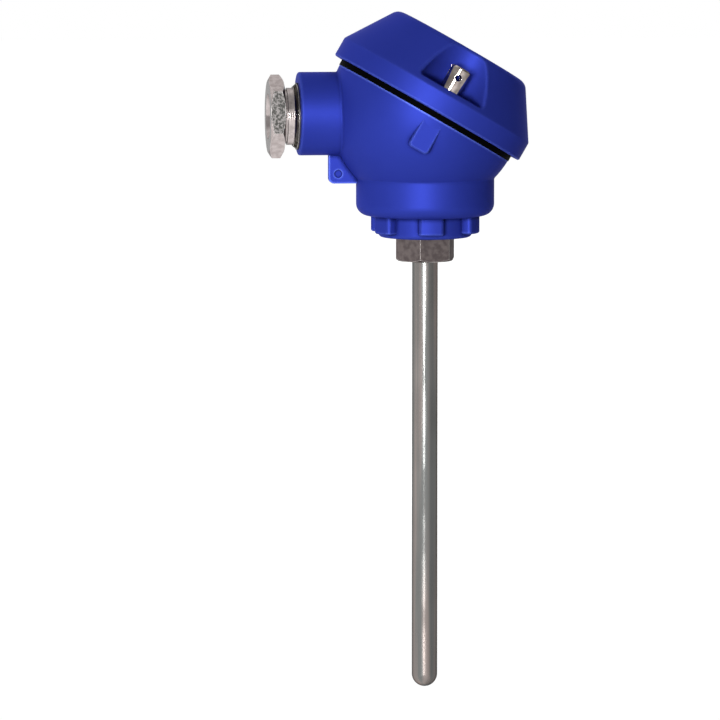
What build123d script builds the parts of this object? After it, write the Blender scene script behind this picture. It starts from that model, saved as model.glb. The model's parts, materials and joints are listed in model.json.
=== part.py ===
from build123d import *
from math import acos, atan, cos, degrees, radians, sin, sqrt, tan
import os

# Thermocouple probe with a tilted-lid connection head, in millimetres.
# The origin lies on the stem's axis at the underside of the hex nipple, and +Z runs up the stem.
# The cable enters from -X, the lid screw stands on the -Y side and the lid hinges on the +Y side.

# Fits
running_gap = 0.05          # radial gap of a pin, thread or shaft that turns
seated_gap = 0.02           # radial gap of a pin that is driven in
sliding_gap = 0.3           # radial gap of a piece that slides freely
small_chamfer = 0.4         # on pins and on the small inner pieces
hex_sides = 6

# Seam between body and lid
lid_tilt = 30.0             # the lid leans down towards +X
seam_height = 52.8          # middle of the seam, above the nipple's underside
gasket_thickness = 2.0
gasket_gap = 0.05           # left under the closed lid
gasket_width = 3.0
gasket_proud = 0.2          # how far the gasket stands out of the body
tab_radius = 4.6            # gasket tab round the lid screw

# Cast body: a ball on a neck, with a threaded collar below
ball_radius = 34.0
ball_wall = 3.0
neck_radius = 24.3
neck_wall = 2.7
neck_rounding = 4.2
neck_blend = 1.0
floor_thickness = 1.9
collar_radius = 16.4
collar_height = 7.6
collar_rounding = 1.3
lug_count = 6
lug_radius = 19.6
lug_width = 8.8
lug_rise = 1.6              # the lugs' feet above the collar's underside
lug_rounding = 1.4
lug_edge = 0.5
mounting_boss_height = 3.3
mounting_boss_radius = 3.6

# Ear web under the cable entry
ear_stand = 0.2             # ear's outer edge in front of the ball
ear_base = 27.4
ear_thickness = 3.0
ear_rounding = 1.9
dimple_radius = 1.4
dimple_depth = 0.4
dimple_inset = 3.4          # from the ear's two outer edges

# Cable entry and gland
entry_height = 51.0         # axis of the gland's hole
entry_lift = 0.9            # boss's axis above it
entry_radius = 14.6
entry_stand = 11.0          # mouth in front of the ball
entry_edge = 0.8
entry_blend = 0.8
thread_radius = 10.0
mouth_radius = 11.8
seal_seat_depth = 17.5      # shoulder that the seal rests on, inside the mouth
seal_seat_thickness = 1.5
seal_boss_wall = 2.4
seat_bore = 7.5
seal_length = 7.8
seal_squeeze = 0.3          # radial gap round the loose seal
cable_radius = 4.5
gland_travel_gap = 2.5      # free way between seal and washer
washer_thickness = 1.2
washer_bore = 5.5
gland_stand = 5.2           # hex in front of the mouth
gland_bore = 6.5
gland_bore_chamfer = 1.6
gland_hex_across = 25.5
gland_hex_thickness = 5.2
gland_hex_turn = 39.3       # one hex corner stands this far above the front
undercut_depth = 0.6
undercut_length = 1.2

# Lid: a low rim, a cone and a flat crown, with a scooped pocket for the screw
lid_overhang = 3.2          # beyond the ball
lid_rim_height = 7.0
lid_height = 24.8
crown_inset = 11.5          # from the lid's edge to the flat crown's corner
crown_rounding = 4.0
rim_rounding = 1.5
rim_edge = 0.4              # chamfer of the lid's lower edge
lid_wall = 3.0
lid_lip = 6.4               # width of the lid's flat lower face
crown_inner_chamfer = 2.0
pocket_radius = 12.7
pocket_inset = 0.5          # pocket's axis inside the lid's edge
pocket_floor = 9.7          # above the seam's middle
pocket_wall = 2.2
pocket_rounding = 1.2

# Captive lid screw
screw_inset = 4.5           # screw's axis inside the ball
screw_head_radius = 3.75
screw_head_height = 8.8
screw_head_chamfer = 0.6
screw_shoulder_radius = 2.5
screw_core_radius = 2.0
screw_neck_radius = 1.7
screw_depth = 5.4           # the tip below the seam's middle
screw_hole_radius = 2.5
screw_hole_depth = 10.0
cross_hole_radius = 1.2
cross_hole_drop = 3.6       # below the top of the head
slot_width = 1.3
slot_depth = 1.2
ring_thickness = 1.0
ring_radius = 3.4
ring_slit = 1.8
ring_lift = 0.2             # ring above the gasket's face of the lid
ring_rise = 5.2             # way for the ring when the screw is backed out
column_wall = 1.2
pad_width = 7.7
pad_inset = 0.3             # pad's face inside the ball
pad_drop = 13.7             # below the seam's middle
pad_rounding = 1.6
pad_edge = 0.5

# Hinge
hinge_stand = 3.0           # pin's axis beyond the lid's edge
hinge_radius = 3.2
pin_radius = 1.5
knuckle_length = 14.0
hinge_side_gap = 0.2
hinge_lug_length = 5.8
lug_web_angle = 40.0        # where the web under the lugs leaves their round ends
lug_foot_angle = 30.0       # where it meets the ball, below the seam
knuckle_web_angle = 45.0

# Nipple and stem
hex_across = 19.0
hex_height = 8.4
hex_turn = 14.2
nipple_thread_radius = 9.0
nipple_top_drop = 0.5       # nipple's top below the head's floor
stem_radius = 4.5
stem_wall = 1.0
spigot_radius = 4.2         # the stem is turned down where it enters the nipple
spigot_length = 6.0
stem_length = 151.6         # below the nipple's underside
mouth_chamfer = 0.9         # recess round the stem in the nipple's underside

# Measuring insert on its spring-loaded plate
plate_gap = 0.6             # between the plate and the neck's wall
plate_thickness = 1.6
mounting_inset = 4.5        # mounting screws inside the plate's edge
block_inset = 1.5           # block inside the plate's edge
block_thickness = 6.0
block_edge = 0.8
well_depth = 3.0
well_radius = 3.8
clearance_hole = 2.6
bar_length = 32.0
bar_width = 13.4
bar_floor = 3.0
cheek_height = 4.2
spring_radius = 3.3
spring_wire = 0.8
spring_turns = 5.25
wire_sides = 6              # flats of the modelled wire
spring_length = 11.0
mounting_shank = 2.0
mounting_head_radius = 3.5
mounting_head_height = 2.6
mounting_depth = 6.7        # thread below the boss top
blind_depth = 1.0           # hole left below a screw's tip

# Terminals
terminal_length = 12.0
terminal_width = 8.0
terminal_height = 7.0
terminal_inset = 3.0        # inner face from the middle
terminal_axis = 3.2         # wire hole above the terminal's foot
wire_hole_radius = 1.2
clamp_pitch = 5.6
clamp_inset = 3.2
clamp_shank = 1.5
clamp_head_radius = 2.2
clamp_head_height = 1.6
clamp_slot_width = 0.7
clamp_slot_depth = 0.8
stub_radius = 1.8
stub_length = 2.3

# Sheathed element
sheath_radius = 3.0
sheath_wall = 0.6
sheath_top = 27.8
tip_gap = 0.3               # sheath's tip above the stem's inner end
seal_plug_length = 2.0
bush_radius = 5.0
bush_height = 2.5
leg_radius = 0.5
leg_offset = 1.1
leg_bend = 1.5
leg_reach = 8.2
bead_radius = 1.75
bead_height = 1.0
bead_lift = 1.4             # bead above the sheath's inner end
sleeve_radius = 0.9
sleeve_bore = 0.55
sleeve_end_gap = 0.1
wire_slot_length = 5.0
wire_slot_width = 2.4

# Earth terminal inside the head
earth_angle = 127.0         # round from +X
earth_pad_radius = 4.0
earth_pad_top = 43.2
earth_pad_height = 12.0
earth_depth = 5.0
earth_washer_thickness = 0.8
earth_washer_radius = 3.8

# Heights and depths that follow from the sizes above
seam_gap = gasket_thickness + gasket_gap
body_top = -seam_gap / 2
lid_bottom = seam_gap / 2
collar_base = hex_height
neck_base = collar_base + collar_height
floor_top = neck_base + floor_thickness
neck_inner = neck_radius - neck_wall
ball_inner = ball_radius - ball_wall
ball_middle = ball_radius - ball_wall / 2
lid_radius = ball_radius + lid_overhang
crown_radius = lid_radius - crown_inset
lid_bore = lid_radius - lid_lip
pocket_offset = lid_radius - pocket_inset
screw_offset = ball_radius - screw_inset
pad_front = ball_radius - pad_inset
hinge_offset = lid_radius + hinge_stand
plate_radius = neck_inner - plate_gap
mounting_offset = plate_radius - mounting_inset
block_radius = plate_radius - block_inset
neck_top = seam_height - sqrt(ball_radius**2 - neck_radius**2)
neck_latitude = degrees(acos(neck_radius / ball_radius))
inner_neck_top = seam_height - sqrt(ball_inner**2 - neck_inner**2)
inner_latitude = degrees(acos(neck_inner / ball_inner))
rim_top = lid_bottom + lid_rim_height
lid_top = lid_bottom + lid_height
cone_angle = atan((lid_radius - crown_radius) / (lid_top - rim_top))
hex_half_angle = radians(180 / hex_sides)
screw_top = pocket_floor + screw_head_height
ring_top = lid_bottom + ring_lift + ring_thickness
counterbore_radius = ring_radius + sliding_gap
column_radius = counterbore_radius + column_wall
boss_top = floor_top + mounting_boss_height
block_base = boss_top + plate_thickness
block_top = block_base + block_thickness
well_floor = block_top - well_depth
spring_top = well_floor + spring_length
bar_top = block_top + bar_floor
terminal_top = bar_top + terminal_height
wire_axis = bar_top + terminal_axis
leg_height = wire_axis - wire_hole_radius + leg_radius
clamp_tip = leg_height + leg_radius
entry_reach = ball_radius + entry_stand
ear_reach = ball_radius + ear_stand
seal_seat = entry_reach - seal_seat_depth
seal_end = seal_seat + seal_length
washer_end = seal_end + gland_travel_gap + washer_thickness
gland_hex_start = entry_reach + gland_stand
nipple_top = floor_top - nipple_top_drop
stem_bore = stem_radius - stem_wall
stem_round = -stem_length + stem_radius
sheath_bore = sheath_radius - sheath_wall
sheath_round = -stem_length + stem_wall + tip_gap + sheath_radius
bead_base = sheath_round - sheath_bore + bead_lift
bead_top = bead_base + bead_height
plug_base = sheath_top - seal_plug_length
knuckle_half = knuckle_length / 2
earth_wall = sqrt(ball_inner**2 - (seam_height - earth_pad_top) ** 2)
earth_offset = earth_wall - earth_washer_radius - sliding_gap
earth_x = earth_offset * cos(radians(earth_angle))
earth_y = earth_offset * sin(radians(earth_angle))
mounting_rows = (-mounting_offset, mounting_offset)
reach = 3 * ball_radius     # longer than any cut needs

os.makedirs("parts", exist_ok=True)

# Planes and axes
seam = Plane(
    origin=(0, 0, seam_height),
    x_dir=(cos(radians(lid_tilt)), 0, -sin(radians(lid_tilt))),
    z_dir=(sin(radians(lid_tilt)), 0, cos(radians(lid_tilt))),
)
lid_axis = Axis(seam.origin, seam.z_dir)
seam_section = Plane(origin=seam.origin, x_dir=seam.x_dir, z_dir=(0, -1, 0))
hinge_section = Plane(origin=seam.origin, x_dir=(0, 1, 0), z_dir=seam.x_dir)
screw_section = seam_section.offset(screw_offset)
screw_axis = Axis(screw_section.origin, seam.z_dir)
entry = Plane(origin=(0, 0, entry_height), x_dir=(0, -1, 0), z_dir=(-1, 0, 0))
entry_section = Plane(origin=entry.origin, x_dir=(-1, 0, 0), z_dir=(0, 1, 0))
entry_axis = Axis(entry.origin, (-1, 0, 0))


def level(height):
    # Level plane at a height above the nipple's underside.
    return Plane.XY.offset(height)


def corner(sketch, x, y):
    # The corner of a profile that lies nearest a point.
    return sketch.vertices().sort_by_distance((x, y, 0))[0]


def save(part, name):
    part.label = name
    export_step(part, f"parts/{name}.step")


# Hollow of the body: ball and neck, less the bosses that stand in it
with BuildPart() as head_hollow:
    with BuildSketch(Plane.XZ):
        with BuildLine():
            Polyline(
                (0, seam_height + ball_inner),
                (0, floor_top),
                (neck_inner, floor_top),
                (neck_inner, inner_neck_top),
            )
            CenterArc((0, seam_height), ball_inner, -inner_latitude, 90 + inner_latitude)
        make_face()
    revolve(axis=Axis.Z)
    with BuildSketch(level(floor_top)):
        with Locations(*[(0, row) for row in mounting_rows]):
            Circle(mounting_boss_radius)
    extrude(amount=mounting_boss_height, mode=Mode.SUBTRACT)
    with BuildSketch(entry.offset(seal_seat - seal_seat_thickness)):
        Circle(thread_radius + running_gap + seal_boss_wall)
    extrude(amount=reach, mode=Mode.SUBTRACT)
    with BuildSketch(level(earth_pad_top)):
        with Locations((earth_x, earth_y)):
            Circle(earth_pad_radius)
    extrude(amount=-earth_pad_height, mode=Mode.SUBTRACT)
    with BuildSketch(seam.offset(body_top)):
        with Locations((0, -screw_offset)):
            Circle(column_radius)
        with Locations((0, -screw_offset - column_radius)):
            Rectangle(2 * column_radius, 2 * column_radius)
    extrude(amount=-pad_drop - body_top, mode=Mode.SUBTRACT)

# Lugs round the collar
with BuildPart() as collar_lugs:
    with BuildSketch(level(collar_base + lug_rise)) as lug_outline:
        with PolarLocations(0, lug_count, start_angle=-90):
            with Locations((lug_radius / 2, 0)):
                Rectangle(lug_radius, lug_width)
        Circle(lug_radius, mode=Mode.INTERSECT)
        Circle(collar_radius - collar_rounding)
        tips = lug_outline.vertices().filter_by(
            lambda v: sqrt(v.X**2 + v.Y**2) > collar_radius + lug_rounding
        )
        fillet(tips, lug_rounding)
    extrude(amount=neck_base - collar_base - lug_rise + floor_thickness)
    chamfer(collar_lugs.edges().group_by(Axis.Z)[0], lug_edge)

# Pad below the lid screw
with BuildPart() as screw_pad:
    with BuildSketch(seam_section.offset(screw_offset)) as pad_outline:
        with Locations((0, -pad_drop / 2)):
            Rectangle(pad_width, pad_drop)
        fillet(pad_outline.vertices().group_by(Axis.Y)[0], pad_rounding)
    extrude(amount=pad_front - screw_offset)
    chamfer(screw_pad.edges().group_by(Axis.Y)[0], pad_edge)

# Body, cast in one piece
with BuildPart() as head_body:
    with BuildSketch(Plane.XZ) as head_outline:
        with BuildLine():
            Polyline(
                (0, seam_height + ball_radius),
                (0, collar_base),
                (collar_radius, collar_base),
                (collar_radius, neck_base),
                (neck_radius, neck_base),
                (neck_radius, neck_top),
            )
            CenterArc((0, seam_height), ball_radius, -neck_latitude, 90 + neck_latitude)
        make_face()
        fillet(corner(head_outline, collar_radius, collar_base), collar_rounding)
        fillet(corner(head_outline, neck_radius, neck_base), neck_rounding)
        fillet(corner(head_outline, neck_radius, neck_top), neck_blend)
    revolve(axis=Axis.Z)
    # Cable entry, blended into the ball
    with BuildSketch(entry):
        with Locations((0, entry_lift)):
            Circle(entry_radius)
    extrude(amount=entry_reach)
    entry_edges = head_body.edges(Select.LAST).filter_by(GeomType.LINE, reverse=True)
    fillet(entry_edges.group_by(Axis.X)[0], entry_edge)
    junction = head_body.edges().filter_by_position(
        Axis.X, -ball_radius, -sqrt(ball_radius**2 - entry_radius**2) + entry_blend
    )
    fillet(junction.filter_by(GeomType.LINE, reverse=True), entry_blend)
    add(collar_lugs.part)
    # Ear web with its round dimple
    with BuildSketch(Plane.XZ) as ear_outline:
        with BuildLine():
            Polyline(
                (-ear_reach, entry_height),
                (-ear_reach, ear_base),
                (-neck_radius + neck_wall / 2, ear_base),
                (-neck_radius + neck_wall / 2, entry_height),
                close=True,
            )
        make_face()
        fillet(corner(ear_outline, -ear_reach, ear_base), ear_rounding)
    extrude(amount=ear_thickness / 2, both=True)
    with BuildSketch(Plane.XZ.offset(ear_thickness / 2)):
        with Locations((-ear_reach + dimple_inset, ear_base + dimple_inset)):
            Circle(dimple_radius)
    extrude(amount=-dimple_depth, mode=Mode.SUBTRACT)
    add(screw_pad.part)
    # Hinge lugs
    with BuildSketch(
        hinge_section.offset(knuckle_half + hinge_side_gap),
        hinge_section.offset(-knuckle_half - hinge_side_gap - hinge_lug_length),
    ):
        with BuildLine():
            Polyline(
                (ball_middle, body_top),
                (hinge_offset, body_top),
                (
                    hinge_offset + hinge_radius * cos(radians(lug_web_angle)),
                    -hinge_radius * sin(radians(lug_web_angle)),
                ),
                (
                    ball_middle * cos(radians(lug_foot_angle)),
                    -ball_middle * sin(radians(lug_foot_angle)),
                ),
                close=True,
            )
        make_face()
        with Locations((hinge_offset, 0)):
            Circle(hinge_radius)
    extrude(amount=hinge_lug_length)
    # The seam cut leaves the hinge lugs' round ends, which lie outside the lid
    with BuildSketch(seam.offset(body_top)):
        Circle(lid_radius - rim_edge)
    extrude(amount=reach, mode=Mode.SUBTRACT)
    add(head_hollow.part, mode=Mode.SUBTRACT)
    # Threaded hole for the nipple
    with BuildSketch(level(collar_base)):
        Circle(nipple_thread_radius + running_gap)
    extrude(amount=floor_top - collar_base, mode=Mode.SUBTRACT)
    # Threaded hole for the gland, with a chamfered mouth and the seal's shoulder
    with BuildSketch(entry_section):
        with BuildLine():
            Polyline(
                (0, 0),
                (0, seat_bore),
                (seal_seat, seat_bore),
                (seal_seat, thread_radius + running_gap),
                (entry_reach - mouth_radius + thread_radius, thread_radius + running_gap),
                (entry_reach, mouth_radius),
                (entry_reach, 0),
                close=True,
            )
        make_face()
    revolve(axis=entry_axis, mode=Mode.SUBTRACT)
    # Threaded holes for the mounting screws, the lid screw and the earth screw
    with BuildSketch(level(boss_top)):
        with Locations(*[(0, row) for row in mounting_rows]):
            Circle(mounting_shank + running_gap)
    extrude(amount=-mounting_depth - blind_depth, mode=Mode.SUBTRACT)
    with BuildSketch(seam.offset(body_top)):
        with Locations((0, -screw_offset)):
            Circle(screw_hole_radius)
    extrude(amount=-screw_hole_depth, mode=Mode.SUBTRACT)
    with BuildSketch(level(earth_pad_top)):
        with Locations((earth_x, earth_y)):
            Circle(mounting_shank + running_gap)
    extrude(amount=-earth_depth - blind_depth, mode=Mode.SUBTRACT)
    with BuildSketch(hinge_section):
        with Locations((hinge_offset, 0)):
            Circle(pin_radius + seated_gap)
    extrude(amount=knuckle_length + hinge_lug_length, both=True, mode=Mode.SUBTRACT)
save(head_body.part, "head_body")

# Gasket on the seam, with a tab round the lid screw
with BuildPart() as lid_gasket:
    with BuildSketch(seam.offset(body_top)):
        Circle(ball_radius + gasket_proud)
        Circle(ball_radius + gasket_proud - gasket_width, mode=Mode.SUBTRACT)
        with Locations((0, -screw_offset)):
            Circle(tab_radius)
            Circle(screw_hole_radius + sliding_gap, mode=Mode.SUBTRACT)
    extrude(amount=gasket_thickness)
save(lid_gasket.part, "lid_gasket")

# Hollow of the lid: it keeps a wall round the pocket and a column for the screw
inner_cone_start = rim_top + (lid_radius - lid_wall / cos(cone_angle) - lid_bore) / tan(cone_angle)
inner_crown = lid_top - lid_wall
inner_crown_radius = lid_bore - (inner_crown - inner_cone_start) * tan(cone_angle)
with BuildPart() as lid_hollow:
    with BuildSketch(seam_section) as lid_hollow_outline:
        with BuildLine():
            Polyline(
                (0, lid_bottom),
                (lid_bore, lid_bottom),
                (lid_bore, inner_cone_start),
                (inner_crown_radius, inner_crown),
                (0, inner_crown),
                close=True,
            )
        make_face()
        chamfer(corner(lid_hollow_outline, inner_crown_radius, inner_crown), crown_inner_chamfer)
    revolve(axis=lid_axis)
    with BuildSketch(seam.offset(pocket_floor - pocket_wall)):
        with Locations((0, -pocket_offset)):
            Circle(pocket_radius + pocket_wall)
    extrude(amount=reach, mode=Mode.SUBTRACT)
    with BuildSketch(seam.offset(lid_bottom)):
        with Locations((0, -screw_offset)):
            Circle(column_radius)
    extrude(amount=reach, mode=Mode.SUBTRACT)

# Lid, cast in one piece with its scooped pocket and hinge knuckle
with BuildPart() as lid:
    with BuildSketch(seam_section) as lid_outline:
        with BuildLine():
            Polyline(
                (0, lid_bottom),
                (lid_radius, lid_bottom),
                (lid_radius, rim_top),
                (crown_radius, lid_top),
                (0, lid_top),
                close=True,
            )
        make_face()
        fillet(corner(lid_outline, crown_radius, lid_top), crown_rounding)
        fillet(corner(lid_outline, lid_radius, rim_top), rim_rounding)
        chamfer(corner(lid_outline, lid_radius, lid_bottom), rim_edge)
    revolve(axis=lid_axis)
    with BuildSketch(seam.offset(pocket_floor)):
        with Locations((0, -pocket_offset)):
            Circle(pocket_radius)
    extrude(amount=reach, mode=Mode.SUBTRACT)
    pocket_edges = lid.edges(Select.LAST)
    fillet(pocket_edges, pocket_rounding)
    with BuildSketch(hinge_section.offset(-knuckle_half)):
        with BuildLine():
            Polyline(
                (lid_radius - lid_wall, lid_bottom),
                (hinge_offset, lid_bottom),
                (
                    hinge_offset + hinge_radius * cos(radians(knuckle_web_angle)),
                    hinge_radius * sin(radians(knuckle_web_angle)),
                ),
                (lid_radius - lid_wall / 2, rim_top - rim_rounding),
                close=True,
            )
        make_face()
        with Locations((hinge_offset, 0)):
            Circle(hinge_radius)
    extrude(amount=knuckle_length)
    add(lid_hollow.part, mode=Mode.SUBTRACT)
    with BuildSketch(seam.offset(lid_bottom)):
        with Locations((0, -screw_offset)):
            Circle(counterbore_radius)
    extrude(amount=ring_top + ring_rise - lid_bottom, mode=Mode.SUBTRACT)
    with BuildSketch(seam.offset(lid_bottom)):
        with Locations((0, -screw_offset)):
            Circle(screw_shoulder_radius + running_gap)
    extrude(amount=pocket_floor, mode=Mode.SUBTRACT)
    with BuildSketch(hinge_section):
        with Locations((hinge_offset, 0)):
            Circle(pin_radius + running_gap)
    extrude(amount=knuckle_length, both=True, mode=Mode.SUBTRACT)
save(lid.part, "lid")

# Hinge pin, driven into the body's lugs
with BuildPart() as hinge_pin:
    with BuildSketch(hinge_section):
        with Locations((hinge_offset, 0)):
            Circle(pin_radius)
    extrude(amount=knuckle_half + hinge_side_gap + hinge_lug_length, both=True)
    chamfer(hinge_pin.edges().filter_by(GeomType.CIRCLE), small_chamfer)
save(hinge_pin.part, "hinge_pin")

# Captive lid screw: capstan head with crossed holes, shoulder, neck and threaded end
with BuildPart() as lid_screw:
    with BuildSketch(screw_section) as screw_outline:
        with BuildLine():
            Polyline(
                (0, -screw_depth),
                (screw_core_radius, -screw_depth),
                (screw_core_radius, ring_top - ring_thickness - running_gap),
                (screw_neck_radius, ring_top - ring_thickness - running_gap),
                (screw_neck_radius, ring_top + running_gap),
                (screw_shoulder_radius, ring_top + running_gap),
                (screw_shoulder_radius, pocket_floor),
                (screw_head_radius, pocket_floor),
                (screw_head_radius, screw_top),
                (0, screw_top),
                close=True,
            )
        make_face()
        chamfer(corner(screw_outline, screw_head_radius, screw_top), screw_head_chamfer)
        chamfer(corner(screw_outline, screw_core_radius, -screw_depth), screw_head_chamfer)
    revolve(axis=screw_axis)
    cross_centre = screw_section.origin + seam.z_dir * (screw_top - cross_hole_drop)
    for direction in (seam.x_dir, seam.y_dir):
        with BuildSketch(Plane(origin=cross_centre, z_dir=direction)):
            Circle(cross_hole_radius)
        extrude(amount=reach, both=True, mode=Mode.SUBTRACT)
    with BuildSketch(seam.offset(screw_top)):
        with Locations((0, -screw_offset)):
            Rectangle(reach, slot_width)
    extrude(amount=-slot_depth, mode=Mode.SUBTRACT)
save(lid_screw.part, "lid_screw")

# Snap ring that keeps the screw in the lid
with BuildPart() as lid_screw_ring:
    with BuildSketch(seam.offset(ring_top - ring_thickness)):
        with Locations((0, -screw_offset)):
            Circle(ring_radius)
            Circle(screw_neck_radius + running_gap, mode=Mode.SUBTRACT)
        with Locations((0, -screw_offset + ring_radius)):
            Rectangle(ring_slit, 2 * ring_radius, mode=Mode.SUBTRACT)
    extrude(amount=ring_thickness)
save(lid_screw_ring.part, "lid_screw_ring")

# Gland: hex pressure screw, thrust washer and rubber seal
with BuildPart() as gland_screw:
    with BuildSketch(entry.offset(gland_hex_start)):
        RegularPolygon(gland_hex_across / 2, hex_sides, major_radius=False, rotation=gland_hex_turn)
    extrude(amount=gland_hex_thickness)
    gland_corner = gland_hex_across / 2 / cos(hex_half_angle)
    bevel = (gland_corner - gland_hex_across / 2) * tan(hex_half_angle)
    gland_end = gland_hex_start + gland_hex_thickness
    with BuildSketch(entry_section):
        with BuildLine():
            Polyline(
                (gland_hex_start, 0),
                (gland_hex_start, gland_hex_across / 2),
                (gland_hex_start + bevel, gland_corner),
                (gland_end - bevel, gland_corner),
                (gland_end, gland_hex_across / 2),
                (gland_end, 0),
                close=True,
            )
        make_face()
    revolve(axis=entry_axis, mode=Mode.INTERSECT)
    with BuildSketch(entry_section) as gland_thread:
        with BuildLine():
            Polyline(
                (washer_end, 0),
                (washer_end, thread_radius),
                (gland_hex_start - undercut_length, thread_radius),
                (gland_hex_start - undercut_length, thread_radius - undercut_depth),
                (gland_hex_start, thread_radius - undercut_depth),
                (gland_hex_start, 0),
                close=True,
            )
        make_face()
        chamfer(corner(gland_thread, washer_end, thread_radius), undercut_depth)
    revolve(axis=entry_axis)
    with BuildSketch(entry_section):
        with BuildLine():
            Polyline(
                (washer_end, 0),
                (washer_end, gland_bore),
                (gland_end - gland_bore_chamfer, gland_bore),
                (gland_end, gland_bore + gland_bore_chamfer),
                (gland_end, 0),
                close=True,
            )
        make_face()
    revolve(axis=entry_axis, mode=Mode.SUBTRACT)
save(gland_screw.part, "gland_screw")

with BuildPart() as gland_washer:
    with BuildSketch(entry.offset(washer_end - washer_thickness)):
        Circle(thread_radius - sliding_gap)
        Circle(washer_bore, mode=Mode.SUBTRACT)
    extrude(amount=washer_thickness)
save(gland_washer.part, "gland_washer")

with BuildPart() as gland_seal:
    with BuildSketch(entry.offset(seal_seat)):
        Circle(thread_radius - seal_squeeze)
        Circle(cable_radius, mode=Mode.SUBTRACT)
    extrude(amount=seal_length)
    outer_rims = gland_seal.edges().group_by(SortBy.LENGTH)[-1]
    chamfer(outer_rims, undercut_depth)
save(gland_seal.part, "gland_seal")

# Hex nipple, screwed up into the collar
with BuildPart() as nipple:
    with BuildSketch(level(0)):
        RegularPolygon(hex_across / 2, hex_sides, major_radius=False, rotation=hex_turn)
    extrude(amount=hex_height)
    hex_corner = hex_across / 2 / cos(hex_half_angle)
    hex_bevel = (hex_corner - hex_across / 2) * tan(hex_half_angle)
    with BuildSketch(Plane.XZ):
        with BuildLine():
            Polyline(
                (0, 0),
                (hex_across / 2, 0),
                (hex_corner, hex_bevel),
                (hex_corner, hex_height),
                (0, hex_height),
                close=True,
            )
        make_face()
    revolve(axis=Axis.Z, mode=Mode.INTERSECT)
    with BuildSketch(Plane.XZ) as nipple_thread:
        with BuildLine():
            Polyline(
                (0, hex_height),
                (nipple_thread_radius - undercut_depth, hex_height),
                (nipple_thread_radius - undercut_depth, hex_height + undercut_length),
                (nipple_thread_radius, hex_height + undercut_length),
                (nipple_thread_radius, nipple_top),
                (0, nipple_top),
                close=True,
            )
        make_face()
        chamfer(corner(nipple_thread, nipple_thread_radius, nipple_top), undercut_depth)
    revolve(axis=Axis.Z)
    with BuildSketch(Plane.XZ):
        with BuildLine():
            Polyline(
                (0, 0),
                (spigot_radius + mouth_chamfer, 0),
                (spigot_radius, mouth_chamfer),
                (spigot_radius, spigot_length),
                (stem_bore, spigot_length),
                (stem_bore, nipple_top),
                (0, nipple_top),
                close=True,
            )
        make_face()
    revolve(axis=Axis.Z, mode=Mode.SUBTRACT)
save(nipple.part, "nipple")

# Stem: a tube with a closed round end
with BuildPart() as stem_tube:
    with BuildSketch(Plane.XZ):
        with BuildLine():
            Line((0, -stem_length), (0, -stem_length + stem_wall))
            CenterArc((0, stem_round), stem_bore, -90, 90)
            Polyline(
                (stem_bore, stem_round),
                (stem_bore, spigot_length),
                (spigot_radius, spigot_length),
                (spigot_radius, 0),
                (stem_radius, 0),
                (stem_radius, stem_round),
            )
            CenterArc((0, stem_round), stem_radius, -90, 90)
        make_face()
    revolve(axis=Axis.Z)
save(stem_tube.part, "stem_tube")

# Slotted screws and springs that press the insert down
with BuildPart() as mounting_screws:
    with BuildSketch(level(spring_top)):
        with Locations(*[(0, row) for row in mounting_rows]):
            Circle(mounting_head_radius)
    extrude(amount=mounting_head_height)
    chamfer(mounting_screws.edges().group_by(Axis.Z)[-1], screw_head_chamfer)
    with BuildSketch(level(spring_top)):
        with Locations(*[(0, row) for row in mounting_rows]):
            Circle(mounting_shank)
    extrude(amount=boss_top - mounting_depth - spring_top)
    with BuildSketch(level(spring_top + mounting_head_height)):
        with Locations(*[(0, row) for row in mounting_rows]):
            Rectangle(reach, slot_width)
    extrude(amount=-slot_depth, mode=Mode.SUBTRACT)
save(mounting_screws.part, "mounting_screws")

with BuildPart() as insert_springs:
    for row in mounting_rows:
        with BuildLine(Plane((0, row, well_floor))) as coil:
            Helix(spring_length / spring_turns, spring_length, spring_radius - spring_wire / 2)
        with BuildSketch(Plane(origin=coil.line @ 0, z_dir=coil.line % 0)):
            RegularPolygon(spring_wire / 2, wire_sides)
        sweep(path=coil.line, is_frenet=True)
    # Both ends are ground flat
    with BuildSketch(level(well_floor)):
        Circle(plate_radius)
    extrude(amount=spring_length, mode=Mode.INTERSECT)
save(insert_springs.part, "insert_springs")

# Mounting plate of the insert
with BuildPart() as insert_plate:
    with BuildSketch(level(boss_top)):
        Circle(plate_radius)
        Circle(sheath_radius, mode=Mode.SUBTRACT)
        with Locations(*[(0, row) for row in mounting_rows]):
            Circle(clearance_hole, mode=Mode.SUBTRACT)
    extrude(amount=plate_thickness)
save(insert_plate.part, "insert_plate")

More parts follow.
